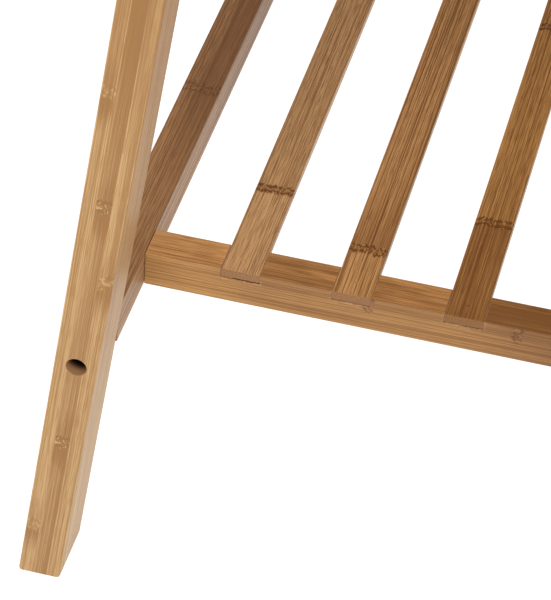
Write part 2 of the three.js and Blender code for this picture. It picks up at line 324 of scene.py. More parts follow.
def bamboo_finish(tree, paint, place, strip, knot, sides, look):
    """Joins strips, fibres and knots into the colour, gloss and relief of a lacquered piece.

    strip is its tone, shift and seam; knot is its marks and how much deeper the tone is just
    past and just before it; sides is where the edge and the sawn end show, and the edge's tone.
    """
    tone, shift, seam = strip
    marks, near, far = knot
    edge, end, edge_tone = sides
    sockets = dict(zip(("Along", "Across", "Through", "Shift"), (*place, shift)))
    fibre = add_node(tree, "Group", sockets, node_tree=fibre_group).outputs

    streak = calc(tree, "SUBTRACT", fibre["Streak"], 0.5)
    streak = calc(tree, "MULTIPLY", streak, look["streaks"])
    depth = calc(tree, "ADD", tone, streak)
    depth = calc(tree, "MULTIPLY_ADD", marks["Near"], near, depth)
    depth = calc(tree, "MULTIPLY_ADD", marks["Far"], far, depth)
    wood = stir(tree, depth, look["pale"], look["deep"])
    edge_depth = calc(tree, "ADD", edge_tone, streak)
    wood = stir(tree, edge, wood, stir(tree, edge_depth, look["edge_pale"], look["edge_deep"]))
    less_on_edges = -0.6
    face = calc(tree, "MULTIPLY_ADD", edge, less_on_edges, 1.0)
    lines = calc(tree, "MULTIPLY", fibre["Line"], look["lines"])
    wood = stir(tree, lines, wood, look["line"])
    less_in_dark_wood, most = -0.7, 1.1
    brightest = calc(tree, "MULTIPLY_ADD", depth, less_in_dark_wood, most, clamp=True)
    gleams = calc(tree, "MULTIPLY", brightest, look["gleams"])
    wood = stir(tree, calc(tree, "MULTIPLY", fibre["Gleam"], gleams), wood, look["gleam"])
    flecks = calc(tree, "MULTIPLY", face, look["flecks"])
    wood = stir(tree, calc(tree, "MULTIPLY", fibre["Fleck"], flecks), wood, look["line"])
    knotted = calc(tree, "MULTIPLY", face, look["knots"])
    for mark, share, shade in (("Band", 0.4, "line"), ("Dots", 0.9, "knot"),
                               ("Specks", 0.6, "speck")):
        strength = calc(tree, "MULTIPLY", knotted, share)
        wood = stir(tree, calc(tree, "MULTIPLY", marks[mark], strength), wood, look[shade])
    wood = stir(tree, calc(tree, "MULTIPLY", seam, look["seams"]), wood, look["line"])
    sockets = {"Across": place[1], "Through": place[2]}
    bundle = add_node(tree, "Group", sockets, node_tree=end_grain_group).outputs["Bundle"]
    bundle_share = 0.6
    bundle = calc(tree, "MULTIPLY", bundle, bundle_share)
    sawn = stir(tree, bundle, look["end"], look["end_dot"])
    wood = stir(tree, end, wood, sawn)

    satin, rougher_lines, rougher_ends = 0.42, 0.15, 0.25
    rough = calc(tree, "MULTIPLY_ADD", fibre["Line"], rougher_lines, satin)
    rough = calc(tree, "MULTIPLY_ADD", end, rougher_ends, rough)
    tree.links.new(rough, paint.inputs["Roughness"])
    height = fibre["Gleam"]
    for mark, raised in ((fibre["Line"], -1.0), (fibre["Fleck"], -0.6), (marks["Band"], 1.5),
                         (marks["Dots"], -1.5), (seam, -1.0)):
        height = calc(tree, "MULTIPLY_ADD", mark, raised, height)
    relief = add_node(tree, "Bump", {"Height": height, "Strength": 0.4, "Distance": 0.0001})
    tree.links.new(relief.outputs[0], paint.inputs["Normal"])
    paint.inputs["Specular IOR Level"].default_value = 0.2
    paint.inputs["Coat Weight"].default_value = 0.04
    paint.inputs["Coat Roughness"].default_value = 0.3
    return wood


leg_look = {
    "streaks": 0.35, "lines": 0.6, "gleams": 0.6, "flecks": 0.45, "knots": 1.0, "seams": 0.3,
    "pale": (0.6, 0.37, 0.175, 1), "deep": (0.33, 0.158, 0.055, 1),
    "line": (0.35, 0.175, 0.055, 1), "gleam": (0.72, 0.475, 0.22, 1),
    "knot": (0.28, 0.135, 0.04, 1), "speck": (0.8, 0.55, 0.27, 1),
    # The edge colours are partly the laminated edge's own colour and partly painted sheen: the
    # pale pinkish glare of the lacquer at a low angle.
    "edge_pale": (0.51, 0.335, 0.175, 1), "edge_deep": (0.43, 0.24, 0.107, 1),
    "end": (0.5, 0.32, 0.18, 1), "end_dot": (0.36, 0.2, 0.09, 1)}


def leg_bamboo():
    material, tree, paint, (x, y, z) = new_material("leg_bamboo")
    splay = math.radians(6.8)
    thickness, width = 0.022, 0.036
    foot_edge = 0.175
    strips_deep, strips_wide = 3, 2
    end_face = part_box("leg_front_right")[1][0]
    out = calc(tree, "ABSOLUTE", y)
    across = calc(tree, "MULTIPLY", out, math.cos(splay))
    across = calc(tree, "MULTIPLY_ADD", z, math.sin(splay), across)
    along = calc(tree, "MULTIPLY", z, math.cos(splay))
    along = calc(tree, "MULTIPLY_ADD", calc(tree, "SUBTRACT", foot_edge, out), math.sin(splay),
                 along)
    through = calc(tree, "ABSOLUTE", x)
    inner_face = foot_edge * math.cos(splay) - thickness
    u = strips(tree, across, inner_face, thickness, strips_deep)
    v = strips(tree, through, end_face - width, width, strips_wide)
    which = calc(tree, "MULTIPLY_ADD", calc(tree, "SIGN", y), 2, calc(tree, "SIGN", x))
    chance, shift, seam = lay_strips(tree, u, v, which)

    # Each row is for the three strips from the inner one out: how dark a strip is, how much
    # darker it gets towards its inner side, and how much painted shade of the seat darkens it
    # towards the top of the leg.
    strip_tones = (0.08, 0.25, 0.08)
    inner_tones = (0.0, 0.42, 0.12)
    seat_shade_tones = (0.65, 1.3, 0.65)
    chance_tone = 0.17
    seat_shade_starts, seat_shade_full = 0.27, 0.4
    tone = calc(tree, "MULTIPLY_ADD", chance, chance_tone, pick(tree, u, strip_tones))
    inner_side = calc(tree, "SUBTRACT", 1.0, calc(tree, "FRACT", u))
    tone = calc(tree, "MULTIPLY_ADD", inner_side, pick(tree, u, inner_tones), tone)
    # Painted shade: the seat above darkens the upper part of each leg.
    top = ramp(tree, along, seat_shade_starts, seat_shade_full)
    tone = calc(tree, "MULTIPLY_ADD", top, pick(tree, u, seat_shade_tones), tone)
    # Painted light: the leg's sides are paler near the foot, as if lit by light bounced up off
    # the floor.
    floor_light_fades_from, floor_light_gone_at = 0.05, 0.3
    side_tone = ramp(tree, along, floor_light_fades_from, floor_light_gone_at)

    # The knots of each strip on the front right leg: the height of one, how far apart they
    # are, and how plain. On the other legs they are moved along.
    knot_heights = (0.206, 0.097, 0.036)
    knot_spacings = (0.28, 0.153, 0.28)
    knot_strengths = (0.6, 1.0, 0.45)
    reach, fade = 0.0036, 7.0
    tone_above, tone_below = 0.4, 0.95
    knot_move = 0.043
    moved = calc(tree, "MULTIPLY", calc(tree, "ADD", which, 1.0), knot_move)
    knots = calc(tree, "ADD", moved, pick(tree, u, knot_heights))
    place = (along, across, through)
    marks = knot_marks(tree, place, knots, pick(tree, u, knot_spacings), reach, fade)
    sides = (faces_along(tree, 1), faces_along(tree, 2), side_tone)
    look = dict(leg_look, knots=pick(tree, u, knot_strengths))
    wood = bamboo_finish(tree, paint, place, (tone, shift, seam),
                         (marks, tone_above, tone_below), sides, look)

    # The bores show cut wood at the mouth, and painted shade takes them nearly black further in.
    bore_radius, soft_edge = 0.0055, 0.0001
    shade_starts, shade_full = 0.003, 0.009
    cut_wood, bore_shade_black = (0.46, 0.25, 0.12, 1), (0.02, 0.009, 0.004, 1)
    drilled = 0.0
    for bolt in ("bolt_shelf_front_right", "bolt_seat_front_right"):
        low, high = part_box(bolt)
        off_y = calc(tree, "ADD", out, (low[1] + high[1]) / 2)
        off_z = calc(tree, "SUBTRACT", z, (low[2] + high[2]) / 2)
        squared = calc(tree, "MULTIPLY_ADD", off_z, off_z, calc(tree, "MULTIPLY", off_y, off_y))
        inside = ramp(tree, calc(tree, "SQRT", squared), bore_radius + soft_edge,
                      bore_radius - soft_edge)
        drilled = calc(tree, "MAXIMUM", drilled, inside)
    wood = stir(tree, drilled, wood, cut_wood)
    bore_shade = ramp(tree, through, end_face - shade_starts, end_face - shade_full)
    wood = stir(tree, calc(tree, "MULTIPLY", drilled, bore_shade), wood, bore_shade_black)
    tree.links.new(wood, paint.inputs["Base Color"])
    return material


def dress(material, *starts):
    """Gives a finish to each frame node whose name starts with one of these words."""
    for name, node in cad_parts.items():
        if name.startswith(starts):
            node.data.materials.clear()
            node.data.materials.append(material)


dress(leg_bamboo(), "leg_")

# ---- Shelf rails: two long square rails between the legs, in darker bamboo ----
# Each is glued up from strips, three side by side and two deep. It is bored from its ends
# for the bolts, and from below for their barrel nuts.

shelf_look = {
    "streaks": 0.4, "lines": 0.55, "gleams": 0.5, "flecks": 0.45, "knots": 0.55, "seams": 0.2,
    "pale": (0.39, 0.205, 0.088, 1), "deep": (0.23, 0.108, 0.043, 1),
    "line": (0.15, 0.062, 0.02, 1), "gleam": (0.47, 0.26, 0.115, 1),
    "knot": (0.12, 0.045, 0.014, 1), "speck": (0.44, 0.25, 0.12, 1),
    # The edge colours are partly the laminated edge's own colour and partly painted sheen: the
    # pale pinkish glare of the lacquer at a low angle.
    "edge_pale": (0.5, 0.3, 0.15, 1), "edge_deep": (0.25, 0.135, 0.067, 1),
    "end": (0.4, 0.22, 0.11, 1), "end_dot": (0.26, 0.13, 0.06, 1)}


def rail_bamboo(name, rail, look, knot):
    material, tree, paint, (x, y, z) = new_material(name)
    low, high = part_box(rail)
    strips_wide, strips_deep = 3, 2
    across = calc(tree, "ABSOLUTE", y)
    u = strips(tree, across, low[1], high[1] - low[1], strips_wide)
    v = strips(tree, z, low[2], high[2] - low[2], strips_deep)
    which = calc(tree, "SIGN", y)
    chance, shift, seam = lay_strips(tree, u, v, which)

    # The tones of the three strips from the inner one out, and how they change along the rail:
    # painted shade of the seat darkens its middle, and painted light pales its ends by the
    # joints.
    strip_tones, chance_tone = (0.65, 0.3, 0.25), 0.25
    seat_shade_tone, end_tone = 0.4, -0.45
    from_middle = calc(tree, "ABSOLUTE", x)
    tone = calc(tree, "MULTIPLY_ADD", chance, chance_tone, pick(tree, u, strip_tones))
    under_seat_shade = ramp(tree, from_middle, low=0.25, high=0.18)
    tone = calc(tree, "MULTIPLY_ADD", under_seat_shade, seat_shade_tone, tone)
    lit_end = ramp(tree, from_middle, low=0.23, high=0.32)
    tone = calc(tree, "MULTIPLY_ADD", lit_end, end_tone, tone)
    side_chance = 0.3
    # The sides take the same painted shade, deeper towards the middle of the rail.
    side_tone = ramp(tree, from_middle, low=0.3, high=0.14, start=0.05, end=0.65)
    side_tone = calc(tree, "MULTIPLY_ADD", chance, side_chance, side_tone)

    # The knots on the back rail are moved along by twice this from those on the front one.
    half_move = 0.04
    spacing, reach, fade = 0.27, 0.0042, 12.0
    tone_past, tone_before = 0.1, 0.0
    place = (x, across, z)
    knots = calc(tree, "MULTIPLY_ADD", which, half_move, knot + half_move)
    marks = knot_marks(tree, place, knots, spacing, reach, fade)
    sides = (faces_along(tree, 1), faces_along(tree, 0), side_tone)
    wood = bamboo_finish(tree, paint, place, (tone, shift, seam),
                         (marks, tone_past, tone_before), sides, look)
    tree.links.new(wood, paint.inputs["Base Color"])
    return material


shelf_rail_knot = 0.199
dress(rail_bamboo("shelf_rail_bamboo", "shelf_rail_back", shelf_look, shelf_rail_knot),
      "shelf_rail_")

# ---- Cross rails: three short rails tenoned into the long ones ----
# Each is two strips, one over the other, notched along its top for the slats. Glue squeezed
# out under the slats' ends is wiped off, and leaves a pale smear on the rail's side.

cross_look = dict(
    shelf_look, streaks=0.4, lines=0.55, gleams=0.6, knots=0.8,
    pale=(0.57, 0.285, 0.1, 1), deep=(0.2, 0.084, 0.024, 1),
    line=(0.2, 0.08, 0.02, 1), gleam=(0.56, 0.3, 0.11, 1),
    edge_pale=(0.62, 0.335, 0.117, 1), edge_deep=(0.3, 0.15, 0.062, 1))


def cross_rail_bamboo():
    material, tree, paint, (x, y, z) = new_material("cross_rail_bamboo")
    low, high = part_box("shelf_cross_rail_right")
    middle_z = (low[2] + high[2]) / 2
    rails_to_a_metre, strips_deep = 3, 2
    which = calc(tree, "ROUND", calc(tree, "MULTIPLY", x, rails_to_a_metre))
    from_face = calc(tree, "ABSOLUTE", x)
    u = strips(tree, from_face, low[0], high[0] - low[0], count=1)
    v = strips(tree, z, low[2], high[2] - low[2], strips_deep)
    chance, shift, seam = lay_strips(tree, u, v, which)

    # The top is darker or paler in each bay between two slats, counted from the front.
    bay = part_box("shelf_slat_2")[0][1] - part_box("shelf_slat_1")[0][1]
    bay_tones, cloud_tone = (-0.1, 0.4, 0.35, 0.95, 0.3), 0.3
    middle_bay = 2.5
    clouds = speckle(tree, stretched(tree, y, from_face, z, 25.0, 90.0), 2.0)
    number = calc(tree, "MULTIPLY_ADD", y, 1 / bay, middle_bay)
    tone = calc(tree, "MULTIPLY_ADD", ramp(tree, clouds, 0.4, 0.6), cloud_tone,
                pick(tree, number, bay_tones))

    # The sides carry painted light: painted shade darkens them towards the back, and a painted
    # pool of light pales them towards the front.
    side_tones, side_chance = (0.4, 0.67), 0.1
    shaded_back_tone, lit_front_tone = 0.5, -0.8
    side_tone = calc(tree, "MULTIPLY_ADD", chance, side_chance, pick(tree, v, side_tones))
    shade_to_back = ramp(tree, y, low=0.02, high=0.09)
    side_tone = calc(tree, "MULTIPLY_ADD", shade_to_back, shaded_back_tone, side_tone)
    light_to_front = ramp(tree, y, low=-0.07, high=-0.12)
    side_tone = calc(tree, "MULTIPLY_ADD", light_to_front, lit_front_tone, side_tone)
    side = faces_along(tree, 0)
    sides = (side, faces_along(tree, 1), side_tone)

    # Knots show only on the side of the upper strip, behind the front slat.
    spacing, reach, fade = 0.076, 0.0022, 6.0
    moved_per_rail, right_rail_knot, knot_strength = 0.05, -0.02, 1.6
    place = (y, from_face, z)
    knots = calc(tree, "MULTIPLY_ADD", calc(tree, "SUBTRACT", which, 1.0), moved_per_rail,
                 right_rail_knot)
    marks = knot_marks(tree, place, knots, spacing, reach, fade)
    above_seam = ramp(tree, z, middle_z, middle_z + 0.001)
    knots_seen = calc(tree, "MULTIPLY", calc(tree, "MULTIPLY", above_seam, side), knot_strength)
    behind_front = ramp(tree, y, low=-0.06, high=-0.04)
    knots_seen = calc(tree, "MULTIPLY", knots_seen, behind_front)
    wood = bamboo_finish(tree, paint, place, (tone, shift, seam), (marks, 0.0, 0.0), sides,
                         dict(cross_look, knots=knots_seen))

    # The wiped glue lies round the slats' ends: a little way under them and to each side.
    spread, drip, soft_edge, past_last = 0.002, 0.003, 0.0005, 0.01
    smear_share, smear_colour = 0.35, (0.62, 0.42, 0.27, 1)
    slat_low, slat_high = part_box("shelf_slat_3")
    last_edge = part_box("shelf_slat_4")[1][1]
    slat_middle, half_width = (slat_low[1] + slat_high[1]) / 2, (slat_high[1] - slat_low[1]) / 2
    past = calc(tree, "FLOORED_MODULO", calc(tree, "ADD", y, bay / 2 - slat_middle), bay)
    from_slat = calc(tree, "ABSOLUTE", calc(tree, "SUBTRACT", past, bay / 2))
    wiped = calc(tree, "MULTIPLY", ramp(tree, from_slat, half_width + spread, half_width),
                 ramp(tree, z, slat_low[2] - drip, slat_low[2] - soft_edge))
    from_middle = calc(tree, "ABSOLUTE", y)
    near_slats = ramp(tree, from_middle, last_edge + past_last, last_edge + past_last / 2)
    wiped = calc(tree, "MULTIPLY", wiped, near_slats)
    crumbs = speckle(tree, stretched(tree, y, x, z, 500.0, 800.0), 2.0)
    wiped = calc(tree, "MULTIPLY", wiped, ramp(tree, crumbs, low=0.48, high=0.62))
    smear = calc(tree, "MULTIPLY", calc(tree, "MULTIPLY", wiped, side), smear_share)
    wood = stir(tree, smear, wood, smear_colour)
    tree.links.new(wood, paint.inputs["Base Color"])
    return material


dress(cross_rail_bamboo(), "shelf_cross_rail_")

# ---- Shelf slats: four thin strips let into the cross rails ----
# Each is a single ply of cane, planed flat, so a knot runs right across it. It is glued into
# the cross rails' notches, and bradded down at each.

slat_look = dict(
    shelf_look, streaks=0.2, lines=0.7, gleams=0.65, flecks=0.4, knots=1.0, seams=0.0,
    pale=(0.54, 0.285, 0.105, 1), deep=(0.21, 0.085, 0.022, 1),
    line=(0.15, 0.058, 0.014, 1), gleam=(0.62, 0.35, 0.14, 1), knot=(0.13, 0.045, 0.009, 1),
    speck=(0.42, 0.2, 0.06, 1),
    # The side colours are partly the laminated edge's own colour and partly painted sheen: the
    # pale pinkish glare of the lacquer at a low angle.
    edge_pale=(0.58, 0.41, 0.27, 1), edge_deep=(0.46, 0.3, 0.18, 1),
    end_dot=(0.2, 0.095, 0.036, 1))


def slat_number(tree, y):
    """Counts the slats from the front: 0 and up over the first, 1 and up over the second."""
    low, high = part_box("shelf_slat_1")
    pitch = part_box("shelf_slat_2")[0][1] - low[1]
    start = (low[1] + high[1] - pitch) / 2
    return calc(tree, "DIVIDE", calc(tree, "SUBTRACT", y, start), pitch)


def shelf_slat_bamboo():
    material, tree, paint, (x, y, z) = new_material("shelf_slat_bamboo")
    number = slat_number(tree, y)
    chance, shift, seam = lay_strips(tree, number, v=0.5, piece=0.0)

    # Each row is for the four slats, from the front one back: their knots, their tones, the
    # tone added past the last knot and just before each one, their colours and their grain.
    last_knots = (0.274, 0.308, 0.266, 0.2)
    knot_spacings = (0.24, 0.26, 0.187, 0.25)
    tones = (0.12, 0.25, 0.27, 0.3)
    end_tones = (-0.12, -0.02, 0.62, 0.2)
    tones_before = (0.15, 0.5, 0.25, 0.0)
    pales = ((0.49, 0.28, 0.124), (0.54, 0.285, 0.108), (0.5, 0.25, 0.074), (0.53, 0.28, 0.1))
    gleams = ((0.57, 0.345, 0.16), (0.62, 0.35, 0.145), (0.59, 0.31, 0.1), (0.61, 0.34, 0.13))
    ends = ((0.34, 0.18, 0.079), (0.32, 0.16, 0.072), (0.28, 0.135, 0.052), (0.34, 0.18, 0.08))
    lines = (0.5, 0.72, 0.7, 0.7)
    flecks = (0.4, 0.35, 0.45, 0.4)

    reach, fade, tone_past = 0.0033, 27.0, 0.05
    place = (x, y, z)
    last_knot = pick(tree, number, last_knots)
    marks = knot_marks(tree, place, last_knot, pick(tree, number, knot_spacings), reach, fade)
    past_last = ramp(tree, calc(tree, "SUBTRACT", x, last_knot), low=-0.001, high=0.002)
    tone = calc(tree, "MULTIPLY_ADD", past_last, pick(tree, number, end_tones),
                pick(tree, number, tones))
    side_chance = 0.5
    side_tone = calc(tree, "MULTIPLY", chance, side_chance)
    sides = (faces_along(tree, 1), faces_along(tree, 0), side_tone)
    look = dict(slat_look, pale=pick_colour(tree, number, pales),
                gleam=pick_colour(tree, number, gleams), end=pick_colour(tree, number, ends),
                lines=pick(tree, number, lines), flecks=pick(tree, number, flecks))
    wood = bamboo_finish(tree, paint, place, (tone, shift, seam),
                         (marks, tone_past, pick(tree, number, tones_before)), sides, look)
    tree.links.new(wood, paint.inputs["Base Color"])
    return material


dress(shelf_slat_bamboo(), "shelf_slat_")

# ---- Glue lines: a film of brown glue between each slat and its notches ----
# It dries in the joint, a little below the slat's top. Under the end of the first slat it has
# shrunk away, and a near-black film in the open gap is painted shadow.


# A patchy two-colour film: used for the glue, and for the painted shadow in the open gap.
def patchy_film(name, pale, dark):
    material, tree, paint, (x, y, z) = new_material(name)
    patches_to_a_metre = 900.0
    place = stretched(tree, x, y, z, patches_to_a_metre, patches_to_a_metre)
    patches = speckle(tree, place, 3.0)
    colour = stir(tree, ramp(tree, patches, low=0.35, high=0.65), pale, dark)
    tree.links.new(colour, paint.inputs["Base Color"])
    paint.inputs["Roughness"].default_value = 0.6
    paint.inputs["Specular IOR Level"].default_value = 0.2
    return material


def finished_piece(mesh, name, material):
    """Turns a mesh into a piece of the bench."""
    data = bpy.data.meshes.new(name)
    mesh.to_mesh(data)
    mesh.free()
    data.materials.append(material)
    piece = bpy.data.objects.new(name, data)
    scene.collection.objects.link(piece)
    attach(piece, "root")
    return piece


def add_to(group, mesh):
    """Puts a mesh in with others, and frees it."""
    data = bpy.data.meshes.new("one_of_many")
    mesh.to_mesh(data)
    mesh.free()
    group.from_mesh(data)
    bpy.data.meshes.remove(data)


def glue_film(mesh, outline, start, length):
    """A film with an outline of (y, z) corners, drawn out along the slat."""
    corners = [mesh.verts.new((start, *corner)) for corner in outline]
    sheet = mesh.faces.new(corners)
    drawn = bmesh.ops.extrude_face_region(mesh, geom=[sheet], use_keep_orig=True)["geom"]
    moved = [part for part in drawn if isinstance(part, bmesh.types.BMVert)]
    bmesh.ops.translate(mesh, verts=moved, vec=(length, 0, 0))


glue = patchy_film("patchy_film", (0.42, 0.22, 0.1, 1), (0.3, 0.15, 0.065, 1))
# Painted shadow: near-black, for the open gap under the first slat's end; also the black of the
# putty pits.
gap_shadow_and_pit_black = patchy_film("gap_shadow_and_pit_black", (0.012, 0.006, 0.003, 1), (0.002, 0.001, 0.001, 1))
joint, clear, sunk = 0.0003, 0.00002, 0.00006
still_glued = 0.3  # of the first slat's width
for end in ("left", "middle", "right"):
    rail_low, rail_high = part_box("shelf_cross_rail_" + end)
    start = rail_low[0] + joint
    length = rail_high[0] - rail_low[0] - 2 * joint
    films = bmesh.new()
    for number in range(1, 5):
        low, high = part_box(f"shelf_slat_{number}")
        left, right, under, top = low[1] - clear, high[1] + clear, low[2] - clear, high[2] - sunk
        left_wall, right_wall, floor_of_notch = left - joint, right + joint, under - joint
        if (number, end) == (1, "right"):
            missed = left + still_glued * (right - left)
            glue_film(films, ((left_wall, top), (left_wall, floor_of_notch),
                              (missed, floor_of_notch), (missed, under), (left, under),
                              (left, top)), start, length)
            glue_film(films, ((right, top), (right, floor_of_notch),
                              (right_wall, floor_of_notch), (right_wall, top)), start, length)
            # Painted shadow: a near-black film fills the open gap under the first slat's end.
            gap_shadow_film = bmesh.new()
            rounded = under + joint
            glue_film(gap_shadow_film, ((missed, rounded), (missed, floor_of_notch),
                              (right, floor_of_notch), (right, rounded)),
                      start, length + joint - clear)
            bmesh.ops.recalc_face_normals(gap_shadow_film, faces=gap_shadow_film.faces)
            finished_piece(gap_shadow_film, "slat_gap_shadow", gap_shadow_and_pit_black)
        else:
            glue_film(films, ((left_wall, top), (left_wall, floor_of_notch),
                              (right_wall, floor_of_notch), (right_wall, top), (right, top),
                              (right, under), (left, under), (left, top)), start, length)
    bmesh.ops.triangulate(films, faces=[face for face in films.faces if len(face.verts) > 4])
    bmesh.ops.recalc_face_normals(films, faces=films.faces)
    finished_piece(films, "slat_glue_" + end, glue)

# ---- Bolts and barrel nuts: socket head bolts through the legs into the rails ----
# Each bolt is turned from zinc plated steel, with a hexagonal socket sunk in its head and a
# rolled thread at its tip, which screws into a steel barrel nut across the rail.


def plated_steel(name, colour, dark):
    material, tree, paint, (x, y, z) = new_material(name)
    grains_along, grains_across = 350.0, 900.0
    bright, dull = 0.3, 0.45
    grain = speckle(tree, stretched(tree, x, y, z, grains_along, grains_across), 3.0)
    tree.links.new(stir(tree, ramp(tree, grain, low=0.3, high=0.7), colour, dark),
                   paint.inputs["Base Color"])
    tree.links.new(ramp(tree, grain, low=0.3, high=0.7, start=bright, end=dull),
                   paint.inputs["Roughness"])
    relief = add_node(tree, "Bump", {"Height": grain, "Strength": 0.2, "Distance": 0.00005})
    tree.links.new(relief.outputs[0], paint.inputs["Normal"])
    paint.inputs["Metallic"].default_value = 1.0
    return material


hair = 1e-6  # closer than this, two places are the same


def turned(profile, steps):
    """A solid turned about the X axis from (distance, radius) points, first to last."""
    mesh = bmesh.new()
    points = [mesh.verts.new((distance, radius, 0)) for distance, radius in profile]
    edges = [mesh.edges.new(pair) for pair in zip(points, points[1:])]
    bmesh.ops.spin(mesh, geom=points + edges, cent=(0, 0, 0), axis=(1, 0, 0), dvec=(0, 0, 0),
                   angle=2 * math.pi, steps=steps, use_merge=True)
    bmesh.ops.remove_doubles(mesh, verts=mesh.verts, dist=hair)
    bmesh.ops.recalc_face_normals(mesh, faces=mesh.faces)
    return mesh


def reshape_rings(mesh, radius, reach_at):
    """Pulls each ring of one radius into another outline, given by its reach at an angle."""
    for vert in mesh.verts:
        if abs(math.hypot(vert.co.y, vert.co.z) - radius) < hair:
            angle = math.atan2(vert.co.z, vert.co.y)
            vert.co.y, vert.co.z = (reach_at(angle) * math.cos(angle),
                                    reach_at(angle) * math.sin(angle))


def shade_turned(mesh):
    """Smooth all round, with its creased edges kept sharp."""
    crease = math.radians(35)
    for face in mesh.faces:
        face.smooth = True
    for edge in mesh.edges:
        edge.smooth = edge.calc_face_angle(0) < crease


def hexagon_reach(angle):
    """How far a hexagon's side is from its middle at an angle."""
    key_half = 0.0025
    return key_half / math.cos(angle % math.radians(60) - math.radians(30))


def socket_bolt():
    """A bolt along +X from the face of its head."""
    socket, mouth, head, shank = 0.00251, 0.0034, 0.005, 0.003
    socket_depth, head_height, whole = 0.003, 0.006, 0.066
    lip, rim, foot = 0.0002, 0.0007, 0.0003
    profile = [(socket_depth, 0.0), (socket_depth, socket), (lip, socket),
               (0.0, mouth), (0.0, head - rim), (lip, head - lip), (rim, head),
               (head_height - foot, head), (head_height, head - foot), (head_height, shank)]
    thread_start, thread_rings, pitch, root = 0.042, 23, 0.001, 0.0026
    for ring in range(thread_rings):
        at = thread_start + ring * pitch
        profile += [(at, shank), (at + pitch / 2, root)]
    tip, tip_shoulder, tip_end = 0.0008, 0.0004, 0.001
    profile += [(whole - tip, shank - tip_shoulder), (whole, shank - tip_end), (whole, 0.0)]
    mesh = turned(profile, steps=24)
    reshape_rings(mesh, socket, hexagon_reach)
    shade_turned(mesh)
    return mesh


zinc_steel = plated_steel("zinc_steel", (0.62, 0.62, 0.63, 1), (0.48, 0.48, 0.5, 1))
for name in list(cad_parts):
    if name.startswith("bolt_"):
        low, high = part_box(name)
        middle_y, middle_z = (low[1] + high[1]) / 2, (low[2] + high[2]) / 2
        bolt = socket_bolt()
        if name.endswith("right"):
            place = Matrix.Translation((high[0], middle_y, middle_z))
            place = place @ Matrix.Rotation(math.pi, 4, "Z")
        else:
            place = Matrix.Translation((low[0], middle_y, middle_z))
        bmesh.ops.transform(bolt, matrix=place, verts=bolt.verts)
        piece = finished_piece(bolt, "socket_" + name, zinc_steel)
        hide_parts(name)

dress(zinc_steel, "barrel_nut_")

# ---- Brads: headless steel pins through each slat into its cross rails ----
# They are driven just under the surface, and their holes are filled with putty stained like
# the slat, which dries with a small dark pit in its middle.

dress(plated_steel("lacquered_brad", (0.09, 0.05, 0.025, 1), (0.04, 0.02, 0.01, 1)), "brad_")


def stained_putty():
    material, tree, paint, (x, y, z) = new_material("stained_putty")
    crumbs_to_a_metre, crumb_tone = 2500.0, 0.5
    slat_stains = (0.1, 0.35, 1.0, 0.4)
    place = stretched(tree, x, y, z, crumbs_to_a_metre, crumbs_to_a_metre)
    crumbs = calc(tree, "SUBTRACT", speckle(tree, place, 2.0), 0.5)
    stain = pick(tree, slat_number(tree, y), slat_stains)
    depth = calc(tree, "MULTIPLY_ADD", crumbs, crumb_tone, stain)
    tree.links.new(stir(tree, depth, slat_look["pale"], slat_look["deep"]),
                   paint.inputs["Base Color"])
    paint.inputs["Roughness"].default_value = 0.6
    paint.inputs["Specular IOR Level"].default_value = 0.2
    return material


putty = stained_putty()
hole_radius, pit_radius, pit_depth = 0.00095, 0.00022, 0.0001
inside_pit = 1.5 * pit_radius
for end in ("left", "middle", "right"):
    plugs = bmesh.new()
    for number in range(1, 5):
        low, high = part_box(f"brad_{end}_slat_{number}")
        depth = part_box(f"shelf_slat_{number}")[1][2] - high[2] - 2 * clear
        plug = turned([(0.0, 0.0), (0.0, hole_radius), (depth, hole_radius), (depth, pit_radius),
                       (depth - pit_depth, 0.0)], steps=16)
        for face in plug.faces:
            reach = max(math.hypot(vert.co.y, vert.co.z) for vert in face.verts)
            face.material_index = int(reach < inside_pit)
        over_brad = Matrix.Translation(((low[0] + high[0]) / 2, (low[1] + high[1]) / 2,
                                        high[2] + clear))
        bmesh.ops.transform(plug, matrix=over_brad @ Matrix.Rotation(-math.pi / 2, 4, "Y"),
                            verts=plug.verts)
        add_to(plugs, plug)
    piece = finished_piece(plugs, "brad_putty_" + end, putty)
    piece.data.materials.append(gap_shadow_and_pit_black)

# ---- Seat rails: two deep rails between the tops of the legs, in the legs' paler bamboo ----
# Each is glued up and bored like a shelf rail, and has pilot holes in its top for the screws
# of the battens.

seat_rail_look = dict(leg_look, knots=0.8, flecks=0.4)
seat_rail_knot = 0.09
dress(rail_bamboo("seat_rail_bamboo", "seat_rail_back", seat_rail_look, seat_rail_knot),
      "seat_rail_")

# ---- Top bars and battens: four bars across the bench that carry the seat slats ----
# Each is glued up from strips, two wide and three deep. The top bars stand on the legs'
# tenons, and the battens are screwed down to the seat rails.


